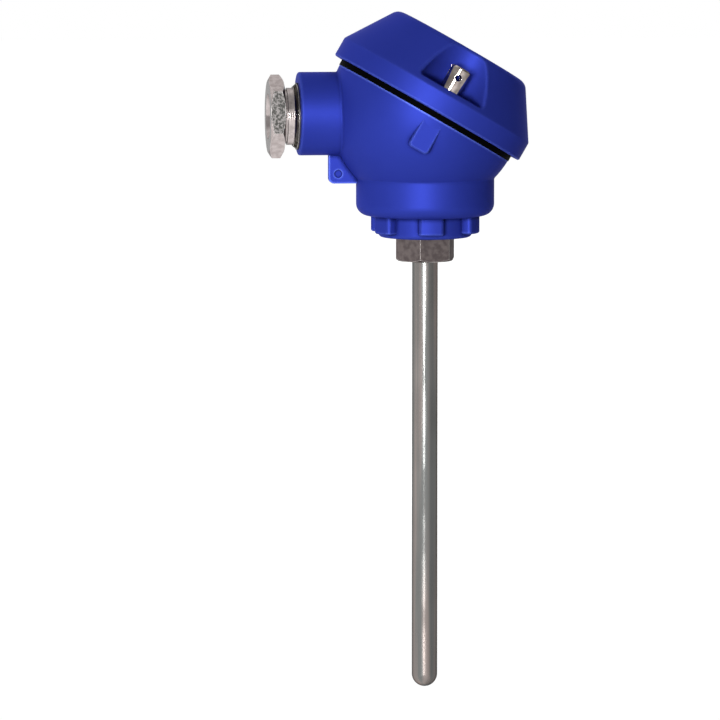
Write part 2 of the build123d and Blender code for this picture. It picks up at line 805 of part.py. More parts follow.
# Ceramic block with a channel for the two terminals
terminal_middle = terminal_inset + terminal_length / 2
with BuildPart() as terminal_block:
    with BuildSketch(level(block_base)):
        Circle(block_radius)
    extrude(amount=block_thickness)
    chamfer(terminal_block.edges().group_by(Axis.Z)[-1], block_edge)
    with BuildSketch(level(block_top)):
        Rectangle(bar_length, bar_width)
    extrude(amount=bar_floor + cheek_height)
    chamfer(
        terminal_block.faces().filter_by(Axis.Z).sort_by(Axis.Z)[-1].edges().filter_by(Axis.X),
        block_edge,
    )
    with BuildSketch(level(bar_top)):
        Rectangle(bar_length, terminal_width + 2 * sliding_gap)
    extrude(amount=cheek_height, mode=Mode.SUBTRACT)
    with BuildSketch(level(block_base)):
        Circle(sheath_radius + sliding_gap)
    extrude(amount=sheath_top - block_base, mode=Mode.SUBTRACT)
    with BuildSketch(level(block_base)):
        SlotOverall(wire_slot_length, wire_slot_width)
    extrude(amount=bar_top - block_base, mode=Mode.SUBTRACT)
    with BuildSketch(level(well_floor)):
        with Locations(*[(0, row) for row in mounting_rows]):
            Circle(well_radius)
    extrude(amount=reach, mode=Mode.SUBTRACT)
    with BuildSketch(level(block_base)):
        with Locations(*[(0, row) for row in mounting_rows]):
            Circle(clearance_hole)
    extrude(amount=block_thickness, mode=Mode.SUBTRACT)
    with BuildSketch(level(bar_top)):
        with Locations((-terminal_middle, 0), (terminal_middle, 0)):
            Circle(stub_radius + running_gap)
    extrude(amount=-stub_length - running_gap, mode=Mode.SUBTRACT)
save(terminal_block.part, "terminal_block")


def make_terminal(side):
    # Brass block with a through hole for the wires and two tapped holes for clamp screws.
    with BuildPart() as terminal:
        with BuildSketch(level(bar_top)):
            with Locations((side * terminal_middle, 0)):
                Rectangle(terminal_length, terminal_width)
        extrude(amount=terminal_height)
        chamfer(terminal.edges().group_by(Axis.Z)[-1], small_chamfer)
        with BuildSketch(level(bar_top)):
            with Locations((side * terminal_middle, 0)):
                Circle(stub_radius)
        extrude(amount=-stub_length)
        with BuildSketch(Plane.YZ):
            with Locations((0, wire_axis)):
                Circle(wire_hole_radius)
        extrude(amount=side * reach, mode=Mode.SUBTRACT)
        with BuildSketch(level(terminal_top)):
            with Locations(*clamp_places(side)):
                Circle(clamp_shank + running_gap)
        extrude(amount=clamp_tip - terminal_top, mode=Mode.SUBTRACT)
    return terminal.part


def clamp_places(side):
    # Places of the clamp screws in one terminal.
    first = terminal_inset + clamp_inset
    return [(side * first, 0), (side * (first + clamp_pitch), 0)]


save(make_terminal(1), "terminal_positive")
save(make_terminal(-1), "terminal_negative")

with BuildPart() as terminal_screws:
    clamps = clamp_places(-1) + clamp_places(1)
    with BuildSketch(level(terminal_top)):
        with Locations(*clamps):
            Circle(clamp_head_radius)
    extrude(amount=clamp_head_height)
    chamfer(terminal_screws.edges().group_by(Axis.Z)[-1], small_chamfer)
    with BuildSketch(level(clamp_tip)):
        with Locations(*clamps):
            Circle(clamp_shank)
    extrude(amount=terminal_top - clamp_tip)
    with BuildSketch(level(terminal_top + clamp_head_height)):
        with Locations(*clamps):
            Rectangle(reach, clamp_slot_width)
    extrude(amount=-clamp_slot_depth, mode=Mode.SUBTRACT)
save(terminal_screws.part, "terminal_screws")

# Sheath of the insert, closed and rounded at its tip
with BuildPart() as insert_sheath:
    with BuildSketch(Plane.XZ):
        with BuildLine():
            Line((0, sheath_round - sheath_radius), (0, sheath_round - sheath_bore))
            CenterArc((0, sheath_round), sheath_bore, -90, 90)
            Line((sheath_bore, sheath_round), (sheath_bore, sheath_top))
            Line((sheath_bore, sheath_top), (sheath_radius, sheath_top))
            Line((sheath_radius, sheath_top), (sheath_radius, sheath_round))
            CenterArc((0, sheath_round), sheath_radius, -90, 90)
        make_face()
    revolve(axis=Axis.Z)
save(insert_sheath.part, "insert_sheath")

# Bush that holds the sheath under the plate
with BuildPart() as sheath_bush:
    with BuildSketch(level(boss_top - bush_height)):
        Circle(bush_radius)
        Circle(sheath_radius, mode=Mode.SUBTRACT)
    extrude(amount=bush_height)
    chamfer(sheath_bush.edges().group_by(Axis.Z)[0].sort_by(SortBy.LENGTH)[-1], small_chamfer)
save(sheath_bush.part, "sheath_bush")

# Packed powder round the two legs, and the resin plug above it
leg_sides = (-1, 1)
with BuildPart() as insert_filling:
    with BuildSketch(Plane.XZ):
        with BuildLine():
            CenterArc((0, sheath_round), sheath_bore, -90, 90)
            Polyline(
                (sheath_bore, sheath_round),
                (sheath_bore, plug_base),
                (0, plug_base),
                (0, sheath_round - sheath_bore),
            )
        make_face()
    revolve(axis=Axis.Z)
    with BuildSketch(level(bead_base)):
        Circle(bead_radius)
    extrude(amount=bead_height, mode=Mode.SUBTRACT)
    with BuildSketch(level(bead_top)):
        with Locations(*[(side * leg_offset, 0) for side in leg_sides]):
            Circle(leg_radius)
    extrude(amount=plug_base - bead_top, mode=Mode.SUBTRACT)
save(insert_filling.part, "insert_filling")

with BuildPart() as sheath_seal:
    with BuildSketch(level(plug_base)):
        Circle(sheath_bore)
        with Locations(*[(side * leg_offset, 0) for side in leg_sides]):
            Circle(leg_radius, mode=Mode.SUBTRACT)
    extrude(amount=seal_plug_length)
save(sheath_seal.part, "sheath_seal")


def make_leg(side, with_bead):
    # One wire of the couple: up the sheath, then bent outwards into its terminal.
    foot = (side * leg_offset, bead_top)
    with BuildPart() as leg:
        with BuildLine(Plane.XZ) as route:
            FilletPolyline(
                foot,
                (side * leg_offset, leg_height),
                (side * leg_reach, leg_height),
                radius=leg_bend,
            )
        with BuildSketch(level(bead_top)):
            with Locations((side * leg_offset, 0)):
                Circle(leg_radius)
        sweep(path=route.line)
        if with_bead:
            with BuildSketch(level(bead_base)):
                Circle(bead_radius)
            extrude(amount=bead_height)
    return leg.part


save(make_leg(1, True), "positive_leg")
save(make_leg(-1, False), "negative_leg")


def make_sleeve(side):
    # Insulating sleeve over the bare wire between sheath and terminal.
    with BuildPart() as sleeve:
        with BuildLine(Plane.XZ) as route:
            FilletPolyline(
                (side * leg_offset, sheath_top),
                (side * leg_offset, leg_height),
                (side * (terminal_inset - sleeve_end_gap), leg_height),
                radius=leg_bend,
            )
        with BuildSketch(level(sheath_top)):
            with Locations((side * leg_offset, 0)):
                Circle(sleeve_radius)
                Circle(sleeve_bore, mode=Mode.SUBTRACT)
        sweep(path=route.line)
    return sleeve.part


save(make_sleeve(1), "positive_sleeve")
save(make_sleeve(-1), "negative_sleeve")

# Earth terminal: screw and clamp washer on the pad inside the ball
with BuildPart() as earth_washer:
    with BuildSketch(level(earth_pad_top)):
        with Locations((earth_x, earth_y)):
            Circle(earth_washer_radius)
            Circle(mounting_shank + running_gap, mode=Mode.SUBTRACT)
    extrude(amount=earth_washer_thickness)
save(earth_washer.part, "earth_washer")

with BuildPart() as earth_screw:
    earth_seat = earth_pad_top + earth_washer_thickness
    with BuildSketch(level(earth_seat)):
        with Locations((earth_x, earth_y)):
            Circle(mounting_head_radius)
    extrude(amount=mounting_head_height)
    chamfer(earth_screw.edges().group_by(Axis.Z)[-1], screw_head_chamfer)
    with BuildSketch(level(earth_seat)):
        with Locations((earth_x, earth_y)):
            Circle(mounting_shank)
    extrude(amount=-earth_washer_thickness - earth_depth)
    with BuildSketch(level(earth_seat + mounting_head_height)):
        with Locations((earth_x, earth_y)):
            Rectangle(reach, slot_width)
    extrude(amount=-slot_depth, mode=Mode.SUBTRACT)
save(earth_screw.part, "earth_screw")
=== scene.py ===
import json
from math import cos, pi, radians, sin

import bpy
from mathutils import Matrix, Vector


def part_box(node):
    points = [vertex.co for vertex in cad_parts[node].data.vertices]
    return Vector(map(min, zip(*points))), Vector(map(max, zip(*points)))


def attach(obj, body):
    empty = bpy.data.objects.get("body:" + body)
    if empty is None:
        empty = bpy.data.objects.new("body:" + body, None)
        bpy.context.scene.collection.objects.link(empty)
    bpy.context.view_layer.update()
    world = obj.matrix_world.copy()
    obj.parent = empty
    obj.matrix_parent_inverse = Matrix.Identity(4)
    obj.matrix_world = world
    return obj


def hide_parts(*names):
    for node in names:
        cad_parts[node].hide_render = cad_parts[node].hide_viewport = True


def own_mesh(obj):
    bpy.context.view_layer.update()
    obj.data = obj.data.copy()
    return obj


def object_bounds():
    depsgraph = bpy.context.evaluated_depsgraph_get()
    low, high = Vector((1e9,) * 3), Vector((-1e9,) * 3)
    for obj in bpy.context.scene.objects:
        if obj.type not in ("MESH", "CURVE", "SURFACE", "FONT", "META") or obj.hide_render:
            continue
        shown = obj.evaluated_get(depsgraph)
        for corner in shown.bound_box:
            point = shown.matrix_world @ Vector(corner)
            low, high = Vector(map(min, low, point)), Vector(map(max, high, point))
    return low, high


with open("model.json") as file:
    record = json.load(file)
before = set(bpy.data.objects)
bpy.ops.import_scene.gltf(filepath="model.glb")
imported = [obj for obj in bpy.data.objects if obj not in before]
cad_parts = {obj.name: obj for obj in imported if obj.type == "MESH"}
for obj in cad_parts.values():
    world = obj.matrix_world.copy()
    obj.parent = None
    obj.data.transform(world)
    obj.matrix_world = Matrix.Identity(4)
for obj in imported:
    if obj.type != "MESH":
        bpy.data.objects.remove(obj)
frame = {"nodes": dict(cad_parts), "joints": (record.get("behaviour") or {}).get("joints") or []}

cadLow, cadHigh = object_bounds()
nodes = frame["nodes"]
joints = {joint["name"]: joint for joint in frame["joints"]}
entryHeight = joints["gland_turn"]["pos_m"][2]  # of the cable entry's axis
mm = 0.001
print("frame loaded:", len(nodes), "nodes")

camera = {
    "azimuth": -6.3,  # degrees, towards the gland
    "elevation": 6.0,
    "distance": 1.8,  # metres
    "originPixel": (425.0, 260.3),  # where the nipple's underside falls in the picture
    "pictureSize": 720,
    "metresPerPixel": 0.352 * mm,
    "sensor": 36.0,
    "clip": (0.05, 50),
}


def towards(azimuth, elevation):  # unit vector from the probe to a place round it
    turn, tilt = radians(azimuth), radians(elevation)
    return Vector((sin(turn) * cos(tilt), -cos(turn) * cos(tilt), sin(tilt)))


def addCamera(view):
    back = towards(view["azimuth"], view["elevation"])
    facing = (-back).to_track_quat("-Z", "Y")
    middle = view["pictureSize"] / 2
    across, down = view["originPixel"]
    aim = facing @ Vector((middle - across, down - middle, 0)) * view["metresPerPixel"]
    bpy.ops.object.camera_add(location=aim + back * view["distance"], rotation=facing.to_euler())
    made = bpy.context.object
    made.data.sensor_width = view["sensor"]
    made.data.lens = view["sensor"] * view["distance"] / (view["pictureSize"] * view["metresPerPixel"])
    made.data.clip_start, made.data.clip_end = view["clip"]
    bpy.context.scene.camera = made


addCamera(camera)
print("camera set")


class Wire:  # a socket that takes part in Python sums
    def __init__(self, owner, socket):
        self.owner, self.socket = owner, socket

    def sum(self, operation, *values):
        return self.owner.add("ShaderNodeMath", {"operation": operation}, dict(enumerate(values)))

    def __add__(self, other): return self.sum("ADD", self, other)
    def __radd__(self, other): return self.sum("ADD", other, self)
    def __sub__(self, other): return self.sum("SUBTRACT", self, other)
    def __rsub__(self, other): return self.sum("SUBTRACT", other, self)
    def __mul__(self, other): return self.sum("MULTIPLY", self, other)
    def __rmul__(self, other): return self.sum("MULTIPLY", other, self)
    def __truediv__(self, other): return self.sum("DIVIDE", self, other)
    def __rtruediv__(self, other): return self.sum("DIVIDE", other, self)
    def __pow__(self, other): return self.sum("POWER", self, other)
    def __gt__(self, other): return self.sum("GREATER_THAN", self, other)
    def __lt__(self, other): return self.sum("LESS_THAN", self, other)


class Nodes:  # adds nodes to one tree
    def __init__(self, tree):
        self.tree = tree

    def feed(self, socket, value):
        if isinstance(value, Wire):
            self.tree.links.new(value.socket, socket)
        elif socket.type == "RGBA" and len(value) == 3:
            socket.default_value = (*value, 1)
        else:
            socket.default_value = value

    def add(self, kind, settings={}, inputs={}, output=0):
        node = self.tree.nodes.new(kind)
        for name, value in settings.items():
            setattr(node, name, value)
        for name, value in inputs.items():
            self.feed(node.inputs[name], value)
        return Wire(self, node.outputs[output])

    def others(self, wire, *names):  # more outputs of the node that a wire comes from
        return [Wire(self, wire.socket.node.outputs[name]) for name in names]

    def mix(self, amount, first, second):
        settings = {"data_type": "RGBA", "clamp_factor": True}
        return self.add("ShaderNodeMix", settings, {0: amount, 6: first, 7: second}, 2)

    def step(self, value, start, end):  # soft step from 0 at start to 1 at end
        return self.add("ShaderNodeMapRange", {"interpolation_type": "SMOOTHSTEP"},
                        {0: value, 1: start, 2: end, 3: 0.0, 4: 1.0})

    def seen(self):  # 1 for what is seen directly, and for what is seen in metal and glass
        direct = self.add("ShaderNodeLightPath", output="Is Camera Ray")
        glossy, clear = self.others(direct, "Is Glossy Ray", "Is Transmission Ray")
        return direct, glossy + clear


class Finish(Nodes):  # one material, built node by node
    def __init__(self, name, **shader):
        self.material = bpy.data.materials.new(name)
        self.material.use_nodes = True
        super().__init__(self.material.node_tree)
        self.shader = self.tree.nodes["Principled BSDF"]
        self.set(**shader)
        place = self.add("ShaderNodeTexCoord", output="Object")
        self.place = self.add("ShaderNodeVectorMath", {"operation": "SCALE"}, {0: place, "Scale": 1 / mm})

    def set(self, **inputs):
        for name, value in inputs.items():
            self.feed(self.shader.inputs[name.replace("_", " ")], value)
        return self

    def noise(self, perMm, detail=3, stretch=(1, 1, 1), rough=0.5):
        at = self.add("ShaderNodeMapping", {}, {"Vector": self.place, "Scale": stretch})
        inputs = {"Vector": at, "Scale": perMm, "Detail": detail, "Roughness": rough}
        return self.add("ShaderNodeTexNoise", {}, inputs)

    def axes(self):  # place in mm
        x = self.add("ShaderNodeSeparateXYZ", {}, {"Vector": self.place}, "X")
        return [x, *self.others(x, "Y", "Z")]

    def soft(self, radius):  # normal of slightly rounded edges
        return self.add("ShaderNodeBevel", {"samples": 6}, {"Radius": radius})

    def edges(self, reach, start=0.04, full=0.4):  # 1 on outer edges
        settings = {"samples": 6, "inside": True, "only_local": True}
        cover = self.add("ShaderNodeAmbientOcclusion", settings, {"Distance": reach}, "AO")
        return self.step(1 - cover, start, full)

    def corners(self, reach, start=0.04, full=0.42):  # 1 in inner corners
        settings = {"samples": 6, "only_local": True}
        cover = self.add("ShaderNodeAmbientOcclusion", settings, {"Distance": reach}, "AO")
        return self.step(1 - cover, start, full)

    def paintedCornerShadeAndEdgeHighlight(self, shade, look):  # painted shade darkens inner corners and a painted highlight lightens outer edges
        corners, edges = self.corners(look["cornerReach"]), self.edges(look["edgeReach"])
        shade = self.mix(corners * look["cornerShade"], shade, look["corner"])
        return self.mix(edges * look["edgeLight"], shade, look["edge"]), edges

    def relief(self, height, depth, normal=None):
        inputs = {"Height": height, "Distance": depth, "Strength": 1.0}
        if normal:
            inputs["Normal"] = normal
        self.set(Normal=self.add("ShaderNodeBump", {}, inputs))
        return self


bluePaint = {
    "colour": (0.033, 0.053, 0.42),
    "deep": (0.027, 0.045, 0.37),  # in faint clouds
    "cloudsPerMm": 0.06,
    "metallic": 0.38,
    "gloss": 0.04,
    "rim": (0.3, 0.3, 0.5),
    # painted highlight: outer edges lightened, on the paint partly thinner paint there
    "edge": (0.14, 0.21, 0.85),
    "edgeLight": 0.85,
    "edgeGloss": 0.06,
    "edgeReach": 0.8 * mm,
    "edgeRadius": 0.4 * mm,
    # painted shade: inner corners darkened
    "corner": (0.004, 0.007, 0.08),
    "cornerShade": 0.85,
    "cornerReach": 2.0 * mm,
    "roughness": 0.54,
    "grain": 0.08,  # spread of the roughness
    "grainPerMm": 2.2,
    "peelPerMm": 0.9,
    "peelGrain": 0.4,
    "orangePeel": 0.012 * mm,
}
bareCasting = {
    "colour": (0.42, 0.39, 0.38),
    "roughness": 0.3,
    "radius": 11.86,  # mm, of the machined mouth of the cable entry
    "depth": 20,
}


def paint(name, look):
    finish = Finish(name, Specular_IOR_Level=look["gloss"], Specular_Tint=look["rim"])
    clouds, grain = finish.noise(look["cloudsPerMm"], 2), finish.noise(look["grainPerMm"], 2)
    # painted shade in inner corners and a painted highlight on outer edges
    shade, edges = finish.paintedCornerShadeAndEdgeHighlight(finish.mix(clouds, look["deep"], look["colour"]), look)
    roughness = look["roughness"] + (grain - 0.5) * look["grain"] - edges * look["edgeGloss"]
    peel = finish.noise(look["peelPerMm"], 3) + look["peelGrain"] * grain
    finish.relief(peel, look["orangePeel"], finish.soft(look["edgeRadius"]))
    return finish, shade, roughness


def paintedBody(look, bare):
    finish, shade, roughness = paint("blue_paint_body", look)
    x, y, z = finish.axes()
    height = entryHeight / mm
    out = (y * y + (z - height) * (z - height)) ** 0.5
    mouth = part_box("head_body")[0].x / mm
    machined = (out < bare["radius"]) * (x < mouth + bare["depth"])
    finish.set(Base_Color=finish.mix(machined, shade, bare["colour"]),
               Metallic=look["metallic"] + machined * (1 - look["metallic"]),
               Roughness=roughness * (1 - machined) + machined * bare["roughness"])
    return finish.material


def paintedLid(look):
    finish, shade, roughness = paint("blue_paint_lid", look)
    return finish.set(Base_Color=shade, Roughness=roughness, Metallic=look["metallic"]).material


gasketRubber = {
    "colour": (0.0008, 0.0008, 0.001),
    "dust": 2.5,  # times paler
    "dustPerMm": 0.8,
    "gloss": 0.01,
    "roughness": 0.55,
    "spread": 0.2,
    "poresPerMm": 6,
    "depth": 0.01 * mm,
}
sealRubber = gasketRubber | {"colour": (0.008, 0.008, 0.009)}


def rubber(name, look):
    finish = Finish(name, Specular_IOR_Level=look["gloss"])
    dust = finish.noise(look["dustPerMm"], 4)
    dusty = tuple(look["dust"] * part for part in look["colour"])
    finish.set(Base_Color=finish.mix(dust, look["colour"], dusty),
               Roughness=look["roughness"] + dust * look["spread"])
    return finish.relief(finish.noise(look["poresPerMm"], 2), look["depth"]).material


stainless = {
    "colour": (0.40, 0.37, 0.35),
    "dark": (0.31, 0.29, 0.28),  # in spots
    "spotsPerMm": 0.5,
    "spotStretch": (1, 1, 1),
    "spotEdge": (0.35, 0.65),
    "rim": (0.35, 0.35, 0.35),
    # painted highlight: outer edges lightened
    "edge": (0.7, 0.68, 0.66),
    "edgeLight": 0.5,
    "edgeReach": 0.35 * mm,
    "edgeRadius": 0.12 * mm,
    # painted shade: inner corners darkened
    "corner": (0.05, 0.045, 0.04),
    "cornerShade": 0.6,
    "cornerReach": 0.8 * mm,
    "streaksPerMm": 4,
    "streakStretch": (1, 1, 0.03),
    "depth": 0.003 * mm,  # of the streaks
    "roughness": 0.24,
    "spread": 0.16,
    "patches": 0.04,  # added roughness of worn stretches
    "patchesPerMm": 0.03,
    "patchEdge": (0.35, 0.6),
}
stemSteel = stainless | {
    # partly painted reflection: the pinkish colour and the grey lengthwise spots give bands like reflected
    # ones, partly drawn-tube streaks
    "colour": (0.34, 0.285, 0.265), "dark": (0.20, 0.205, 0.20), "spotsPerMm": 0.35,
    "spotStretch": (1, 1, 0.02), "rim": (0.2, 0.2, 0.2), "roughness": 0.12, "spread": 0.05,
    "depth": 0.0008 * mm, "patches": 0.16,
}
nippleSteel = stainless | {
    # painted highlight: the edge colour lightens outer edges
    "colour": (0.21, 0.175, 0.17), "dark": (0.135, 0.11, 0.11), "edge": (0.7, 0.65, 0.63), "edgeLight": 0.9,
    "streaksPerMm": 3, "streakStretch": (1, 1, 1), "depth": 0.012 * mm, "roughness": 0.38, "spread": 0.2,
}
plateSteel = stainless | {"streakStretch": (0.05, 1, 1)}
springSteel = stainless | {
    "colour": (0.36, 0.36, 0.36), "dark": (0.28, 0.28, 0.28), "streakStretch": (1, 1, 1),
}
nickelAlloy = stainless | {"colour": (0.34, 0.33, 0.30), "dark": (0.27, 0.26, 0.24), "roughness": 0.34}
coupleWire = stainless | {"colour": (0.42, 0.37, 0.32), "dark": (0.33, 0.29, 0.25), "roughness": 0.3}
otherWire = coupleWire | {"colour": (0.36, 0.35, 0.34)}
nickel = stainless | {
    # painted highlight: the edge colour lightens outer edges
    "colour": (0.62, 0.55, 0.54), "dark": (0.48, 0.42, 0.41), "edge": (0.85, 0.8, 0.78),
    "streaksPerMm": 3, "streakStretch": (1, 1, 1), "depth": 0.004 * mm, "roughness": 0.17, "spread": 0.1,
}
screwMetal = nickel | {
    "colour": (0.66, 0.58, 0.54), "dark": (0.36, 0.30, 0.27), "spotsPerMm": 0.3, "roughness": 0.13,
    "spread": 0.05, "depth": 0.001 * mm,
}
# painted reflection: the turned ring is coloured dark for the dark reflection it shows, with a painted
# highlight on its edges
ringPaintedReflection = nickel | {
    "colour": (0.13, 0.12, 0.11), "dark": (0.05, 0.045, 0.04), "edge": (1.0, 0.95, 0.93), "edgeLight": 1.0,
}
# painted highlight: the edge colour lightens outer edges
brass = nickel | {"colour": (0.62, 0.42, 0.16), "dark": (0.48, 0.31, 0.11), "edge": (0.85, 0.68, 0.38)}


def metal(name, look):
    finish = Finish(name, Metallic=1.0, Specular_Tint=look["rim"])
    streaks = finish.noise(look["streaksPerMm"], 3, look["streakStretch"])
    spots = finish.noise(look["spotsPerMm"], 4, look["spotStretch"])
    shade = finish.mix(finish.step(spots, *look["spotEdge"]), look["dark"], look["colour"])
    patches = finish.step(finish.noise(look["patchesPerMm"], 2), *look["patchEdge"]) * look["patches"]
    # painted shade in inner corners and a painted highlight on outer edges
    finish.set(Base_Color=finish.paintedCornerShadeAndEdgeHighlight(shade, look)[0],
               Roughness=look["roughness"] + (streaks - 0.5) * look["spread"] + patches)
    return finish.relief(streaks, look["depth"], finish.soft(look["edgeRadius"])).material


glandMetal = nickel | {
    "facetTurn": 9.3,  # degrees, of the flat that faces the front, painted darker with dark blotches as a painted mottled reflection
    "facetDrop": 12.6,  # mm from the gland's axis
    # painted reflection: the front flat's dark colour and its darker blotches
    "flat": (0.17, 0.16, 0.157),
    "flatRoughness": 0.28,
    "blotchedReflection": (0.045, 0.045, 0.042),
    "blotchesPerMm": 1.1,
    "blotchDetail": 0.7,
    "blotchEdge": (0.45, 0.56),
    "blotchDepth": 0.03,  # mm, as the next two depths
    "streakDepth": 0.004,
    "turningDepth": 0.01,
    "turningPerMm": 1.3,  # fine rings on the barrel
    "barrelStart": 5.4,  # mm from the gland's outer end
}


def metalWithPaintedFlat(name, look):  # a metal with one rough flat that carries a painted mottled reflection, and a turned barrel
    finish = Finish(name, Metallic=1.0, Specular_Tint=look["rim"])
    x, y, z = finish.axes()
    turn = radians(look["facetTurn"])
    flat = (z - entryHeight / mm) * sin(turn) - y * cos(turn) > look["facetDrop"]
    blotches = finish.noise(look["blotchesPerMm"], 4, rough=look["blotchDetail"])
    spots, streaks = finish.noise(look["spotsPerMm"], 4), finish.noise(look["streaksPerMm"], 3)
    shade = finish.mix(finish.step(spots, *look["spotEdge"]), look["dark"], look["colour"])
    # painted reflection: the front flat is coloured dark with darker blotches
    blotchedReflection = finish.mix(finish.step(blotches, *look["blotchEdge"]), look["blotchedReflection"], look["flat"])
    # painted shade in inner corners and a painted highlight on outer edges
    shade = finish.paintedCornerShadeAndEdgeHighlight(finish.mix(flat, shade, blotchedReflection), look)[0]
    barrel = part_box(name)[0].x / mm + look["barrelStart"]
    wave = x * (look["turningPerMm"] * 2 * pi)
    rings = (x > barrel) * wave.sum("SINE", wave)
    roughness = look["roughness"] + (streaks - 0.5) * look["spread"] + flat * look["flatRoughness"]
    finish.set(Base_Color=shade, Roughness=roughness)
    height = flat * blotches * look["blotchDepth"] + rings * look["turningDepth"]
    height = height + streaks * look["streakDepth"]
    return finish.relief(height, mm, finish.soft(look["edgeRadius"])).material


steatite = {
    "colour": (0.72, 0.68, 0.58),
    "stain": (0.64, 0.59, 0.49),
    "stainsPerMm": 0.15,
    "speckAndCornerShade": (0.35, 0.30, 0.24),
    "specksPerMm": 4,
    "speckEdge": (0.68, 0.74),
    "speckShade": 0.3,
    # painted shade: inner corners are darkened towards the speck colour
    "cornerShade": 0.5,
    "cornerReach": 1.2 * mm,
    "edgeRadius": 0.3 * mm,
    "gloss": 0.3,
    "roughness": 0.5,
    "spread": 0.1,
    "depth": 0.02 * mm,
}
powder = steatite | {"colour": (0.76, 0.75, 0.72), "stain": (0.70, 0.69, 0.66), "roughness": 0.85}
resin = steatite | {
    "colour": (0.045, 0.035, 0.03), "stain": (0.06, 0.05, 0.04), "speckAndCornerShade": (0.1, 0.09, 0.08),
    "roughness": 0.35,
}
darkEnamel = steatite | {
    "colour": (0.10, 0.095, 0.09), "stain": (0.13, 0.12, 0.11), "speckAndCornerShade": (0.05, 0.05, 0.05),
}


def ceramic(name, look):
    finish = Finish(name, Specular_IOR_Level=look["gloss"])
    clouds, specks = finish.noise(look["stainsPerMm"], 3), finish.noise(look["specksPerMm"], 2)
    shade = finish.mix(clouds, look["colour"], look["stain"])
    shade = finish.mix(finish.step(specks, *look["speckEdge"]) * look["speckShade"], shade, look["speckAndCornerShade"])
    # painted shade in inner corners
    shade = finish.mix(finish.corners(look["cornerReach"]) * look["cornerShade"], shade, look["speckAndCornerShade"])
    finish.set(Base_Color=shade, Roughness=look["roughness"] + (specks - 0.5) * look["spread"])
    return finish.relief(specks, look["depth"], finish.soft(look["edgeRadius"])).material


finishes = {
    "head_body": paintedBody(bluePaint, bareCasting),
    "lid": paintedLid(bluePaint),
    "lid_gasket": rubber("gasket_rubber", gasketRubber),
    "gland_seal": rubber("seal_rubber", sealRubber),
    "hinge_pin": metal("pin_steel", stainless),
    "lid_screw": metal("screw_steel", screwMetal),
    "lid_screw_ring": metal("ring_steel", springSteel),
    "gland_screw": metalWithPaintedFlat("gland_screw", glandMetal),
    "gland_washer": metal("washer_nickel", nickel),
    "nipple": metal("nipple_steel", nippleSteel),
    "stem_tube": metal("stem_steel", stemSteel),
    "mounting_screws": metal("mounting_steel", stainless),
    "insert_springs": metal("spring_wire", springSteel),
    "insert_plate": metal("plate_steel", plateSteel),
    "terminal_block": ceramic("block_ceramic", steatite),
    "terminal_positive": metal("terminal_brass_a", brass),
    "terminal_negative": metal("terminal_brass_b", brass),
    "terminal_screws": metal("clamp_nickel", nickel),
    "insert_sheath": metal("sheath_alloy", nickelAlloy),
    "sheath_bush": metal("bush_steel", stainless),
    "insert_filling": ceramic("packed_powder", powder),
    "sheath_seal": ceramic("seal_resin", resin),
    "positive_leg": metal("couple_wire_a", coupleWire),
    "negative_leg": metal("couple_wire_b", otherWire),
    "positive_sleeve": ceramic("sleeve_ceramic_a", steatite),
    "negative_sleeve": ceramic("sleeve_ceramic_b", steatite),
    "earth_washer": metal("earth_nickel_a", nickel),
    "earth_screw": metal("earth_nickel_b", nickel),
}
for name, material in finishes.items():
    nodes[name].data.materials.clear()
    nodes[name].data.materials.append(material)
print("finishes:", len(finishes))


def bare():  # nothing selected, so that an operator acts only on the new piece
    bpy.ops.object.select_all(action="DESELECT")


def settled(name, material, body):  # the piece's place goes into its mesh
    piece = bpy.context.object
    bpy.ops.object.transform_apply(location=True, rotation=True, scale=True)
    piece.name = piece.data.name = name
    piece.data.materials.append(material)
    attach(piece, body)
    return piece


def pick(test):  # the faces of the piece in edit mode whose middle and normal pass the test
    bpy.ops.mesh.select_all(action="DESELECT")
    bpy.ops.object.mode_set(mode="OBJECT")
    for face in bpy.context.object.data.polygons:
        face.select = test(face.center, face.normal)
    bpy.ops.object.mode_set(mode="EDIT")


springs = {
    "joint": "insert_float",
    "node": "insert_springs",
    "weld": 0.001,  # mm
    "smoothBelow": 65,  # degrees
}


def addSprings(look):  # the two coils, copied, welded and smoothed, riding on the head in place of the CAD node
    bare()
    piece = bpy.data.objects.new("coil_springs", nodes[look["node"]].data.copy())
    bpy.context.collection.objects.link(piece)
    piece.select_set(True)
    bpy.context.view_layer.objects.active = piece
    bpy.ops.object.mode_set(mode="EDIT")
    bpy.ops.mesh.select_all(action="SELECT")
    bpy.ops.mesh.remove_doubles(threshold=look["weld"] * mm)
    bpy.ops.mesh.normals_make_consistent(inside=False)
    bpy.ops.object.mode_set(mode="OBJECT")
    bpy.ops.object.shade_smooth_by_angle(angle=radians(look["smoothBelow"]))
    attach(piece, "head")
    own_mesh(piece)
    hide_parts(look["node"])


mouthRing = {
    "sides": 128,
    "profile": (  # radius and x, mm
        (10.25, -43.5), (11.75, -45.0), (11.75, -45.6), (11.55, -45.75),
        (11.3, -45.75), (10.6, -46.75), (10.45, -46.9), (10.25, -46.9),
    ),
    "weld": 0.005,  # mm
    "smoothBelow": 30,  # degrees
    "finish": ringPaintedReflection,
}


